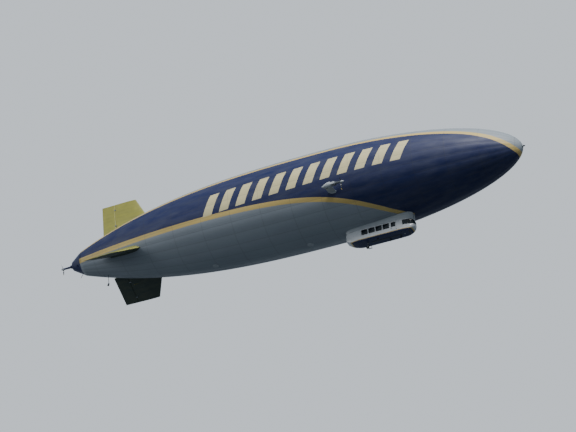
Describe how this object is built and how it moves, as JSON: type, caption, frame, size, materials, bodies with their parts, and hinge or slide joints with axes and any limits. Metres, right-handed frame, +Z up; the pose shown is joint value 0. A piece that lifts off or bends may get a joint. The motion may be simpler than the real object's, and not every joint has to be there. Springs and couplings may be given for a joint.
{
  "type": "advertising airship, semi-rigid, 1:2 scale model",
  "caption": "Semi-rigid advertising airship with swivelling propellers, three fins with rudders and a glazed passenger gondola.",
  "frame": {"origin": "centre of lift of the hull, on the hull's axis", "axes": "+X towards the bow, +Y to port, +Z up"},
  "size_m": [37.439, 9.5918, 9.5863],
  "materials": {
    "hull_fabric": "coated laminate, navy above and silver grey below, satin",
    "fin_cover": "tight coated cover over a light frame, gold, satin",
    "drive_housing": "light grey paint",
    "cabin_shell": "navy paint below, light grey above",
    "machinery": "cast and machined",
    "dark_composite": "dark grey lacquer over laminate",
    "glazing": "tinted",
    "tyre": "moulded rubber",
    "upholstery": "grained, matt",
    "lamp_lens": "clear lens"
  },
  "bodies": {
    "airship": {"envelope": "hull_fabric", "nose_cone": "hull_fabric", "mooring_probe": "machinery", "belly_valve_fore": "drive_housing", "belly_valve_aft": "drive_housing", "beacon": "lamp_lens", "fin_top": "fin_cover", "fin_port": "fin_cover", "fin_starboard": "fin_cover", "tail_lamp": "lamp_lens", "nacelle_port": "drive_housing", "nacelle_starboard": "drive_housing", "engine_port": "machinery", "engine_starboard": "machinery", "pylon_port": "drive_housing", "pylon_starboard": "drive_housing", "lamp_port": "lamp_lens", "lamp_starboard": "lamp_lens", "stern_cone": "drive_housing", "stern_engine": "machinery", "lateral_drive": "drive_housing", "gondola_nose": "cabin_shell", "windshield": "glazing", "gondola_floor": "cabin_shell", "gondola_roof": "cabin_shell", "gondola_wall_port": "cabin_shell", "gondola_wall_starboard": "cabin_shell", "glazing_port": "glazing", "glazing_starboard": "glazing", "gondola_tail": "cabin_shell", "rear_window": "glazing", "gondola_fairing": "drive_housing", "seats_port": "upholstery", "seats_starboard": "upholstery", "pilot_seats": "upholstery", "instrument_console": "dark_composite", "main_leg": "machinery", "tail_leg": "machinery"},
    "top_rudder": {"rudder_top": "fin_cover"},
    "port_rudder": {"rudder_port": "fin_cover"},
    "starboard_rudder": {"rudder_starboard": "fin_cover"},
    "port_head": {"swivel_port": "dark_composite"},
    "port_prop": {"propeller_port": "dark_composite"},
    "starboard_head": {"swivel_starboard": "dark_composite"},
    "starboard_prop": {"propeller_starboard": "dark_composite"},
    "side_thruster": {"lateral_propeller": "dark_composite"},
    "stern_head": {"stern_swivel": "dark_composite"},
    "stern_prop": {"stern_propeller": "dark_composite"},
    "cabin_door": {"passenger_door": "cabin_shell", "passenger_door_pane": "glazing"},
    "pilot_door": {"crew_door": "cabin_shell", "crew_door_pane": "glazing"},
    "main_castor": {"main_fork": "machinery"},
    "main_wheels": {"main_wheel": "tyre"},
    "tail_castor": {"tail_fork": "machinery"},
    "tail_wheels": {"tail_wheel": "tyre"}
  },
  "joints": [
    {"name": "top_rudder_hinge", "type": "hinge", "parent": "airship", "child": "top_rudder", "pos_m": [-15.42, 0, 3], "axis": [0, 0, 1], "range_deg": [-25, 25]},
    {"name": "port_rudder_hinge", "type": "hinge", "parent": "airship", "child": "port_rudder", "pos_m": [-15.42, 2.59808, -1.5], "axis": [0, 0.866, -0.5], "range_deg": [-25, 25]},
    {"name": "starboard_rudder_hinge", "type": "hinge", "parent": "airship", "child": "starboard_rudder", "pos_m": [-15.42, -2.59808, -1.5], "axis": [0, -0.866, -0.5], "range_deg": [-25, 25]},
    {"name": "port_swivel_hinge", "type": "hinge", "parent": "airship", "child": "port_head", "pos_m": [3.88, 4.2, -1.6], "axis": [0, -1, 0], "range_deg": [0, 120]},
    {"name": "port_propeller_spin", "type": "hinge", "parent": "port_head", "child": "port_prop", "pos_m": [4.43, 4.2, -1.6], "axis": [1, 0, 0], "continuous": true},
    {"name": "starboard_swivel_hinge", "type": "hinge", "parent": "airship", "child": "starboard_head", "pos_m": [3.88, -4.2, -1.6], "axis": [0, -1, 0], "range_deg": [0, 120]},
    {"name": "starboard_propeller_spin", "type": "hinge", "parent": "starboard_head", "child": "starboard_prop", "pos_m": [4.43, -4.2, -1.6], "axis": [1, 0, 0], "continuous": true},
    {"name": "lateral_propeller_spin", "type": "hinge", "parent": "airship", "child": "side_thruster", "pos_m": [-18.67, 1.12, 0], "axis": [0, 1, 0], "continuous": true},
    {"name": "stern_swivel_hinge", "type": "hinge", "parent": "airship", "child": "stern_head", "pos_m": [-19.17, 0, 0], "axis": [0, -1, 0], "range_deg": [0, 90]},
    {"name": "stern_propeller_spin", "type": "hinge", "parent": "stern_head", "child": "stern_prop", "pos_m": [-19.87, 0, 0], "axis": [-1, 0, 0], "continuous": true},
    {"name": "passenger_door_hinge", "type": "hinge", "parent": "airship", "child": "cabin_door", "pos_m": [4.837, 0.5703, -4.2], "axis": [0, 0, -1], "range_deg": [0, 110]},
    {"name": "crew_door_hinge", "type": "hinge", "parent": "airship", "child": "pilot_door", "pos_m": [7.117, -0.5703, -4.2], "axis": [0, 0, 1], "range_deg": [0, 110]},
    {"name": "main_castor_swivel", "type": "hinge", "parent": "airship", "child": "main_castor", "pos_m": [4.68, 0, -4.87], "axis": [0, 0, 1], "continuous": true},
    {"name": "main_wheel_roll", "type": "hinge", "parent": "main_castor", "child": "main_wheels", "pos_m": [4.62, 0, -5.03], "axis": [0, 1, 0], "continuous": true},
    {"name": "tail_castor_swivel", "type": "hinge", "parent": "airship", "child": "tail_castor", "pos_m": [-16.17, 0, -2.29], "axis": [0, 0, 1], "continuous": true},
    {"name": "tail_wheel_roll", "type": "hinge", "parent": "tail_castor", "child": "tail_wheels", "pos_m": [-16.215, 0, -2.41], "axis": [0, 1, 0], "continuous": true}
  ]
}
